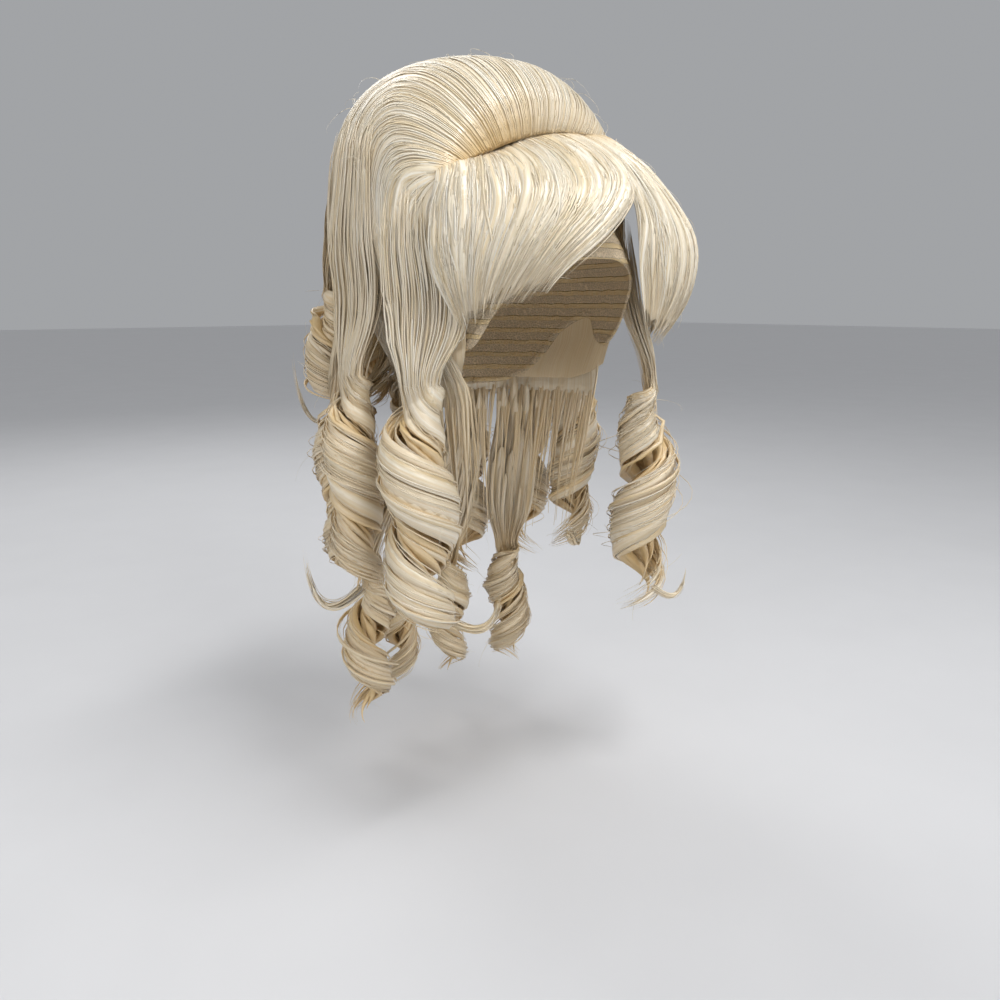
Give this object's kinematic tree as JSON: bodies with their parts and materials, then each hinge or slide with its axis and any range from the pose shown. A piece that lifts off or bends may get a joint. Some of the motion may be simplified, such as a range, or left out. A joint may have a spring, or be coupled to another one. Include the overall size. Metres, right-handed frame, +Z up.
{
  "type": "beehive wig",
  "caption": "Blonde beehive wig on a fitted cap, with a swept fringe, a face-framing wave and long ringlets hanging in tiers.",
  "frame": {"origin": "top of the hollow, where the cap rests on the head", "axes": "+Z up, -Y the way the face looks, -X the wearer's right"},
  "size_m": [0.2997, 0.303, 0.5578],
  "materials": {
    "net_cap": "fine beige net",
    "blonde_hair": "glossy platinum blonde fibre"
  },
  "bodies": {
    "root": {"wig_cap": "net_cap", "beehive_crown": "blonde_hair", "swept_fringe": "blonde_hair", "face_wave": "blonde_hair", "ringlet_right_front": "blonde_hair", "ringlet_right_middle": "blonde_hair", "ringlet_right_rear": "blonde_hair", "ringlet_back_upper_1": "blonde_hair", "ringlet_back_upper_2": "blonde_hair", "ringlet_back_upper_3": "blonde_hair", "ringlet_back_upper_4": "blonde_hair", "ringlet_back_middle_1": "blonde_hair", "ringlet_back_middle_2": "blonde_hair", "ringlet_back_middle_3": "blonde_hair", "ringlet_left_rear": "blonde_hair", "ringlet_left_middle": "blonde_hair", "ringlet_left_front": "blonde_hair", "ringlet_back_long_1": "blonde_hair", "ringlet_back_long_2": "blonde_hair", "ringlet_back_long_3": "blonde_hair", "ringlet_back_long_4": "blonde_hair"}
  },
  "joints": []
}
